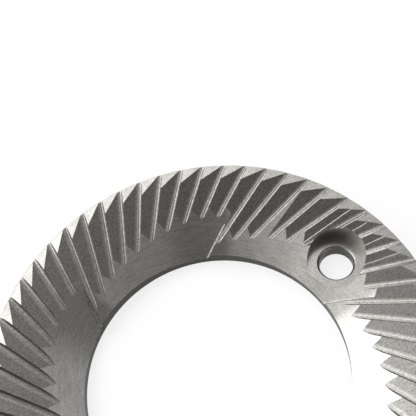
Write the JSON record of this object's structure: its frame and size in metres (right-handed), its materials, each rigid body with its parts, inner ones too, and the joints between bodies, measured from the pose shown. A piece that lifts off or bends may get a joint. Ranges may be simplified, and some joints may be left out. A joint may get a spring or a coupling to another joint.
{
  "type": "coffee grinder burr",
  "caption": "Flat steel grinding burr: a ring with skewed cutting teeth, a dished throat with stepped ramps, and counterbored screw holes.",
  "frame": {"origin": "centre of the bore, on the flat back face", "axes": "+Z along the bore's axis, out of the toothed face; +X through one of the two screw holes"},
  "size_m": [0.08, 0.08, 0.008],
  "materials": {
    "steel": "ground lands, fine matt milled grooves and dish"
  },
  "bodies": {
    "root": {"burr": "steel"}
  },
  "joints": []
}
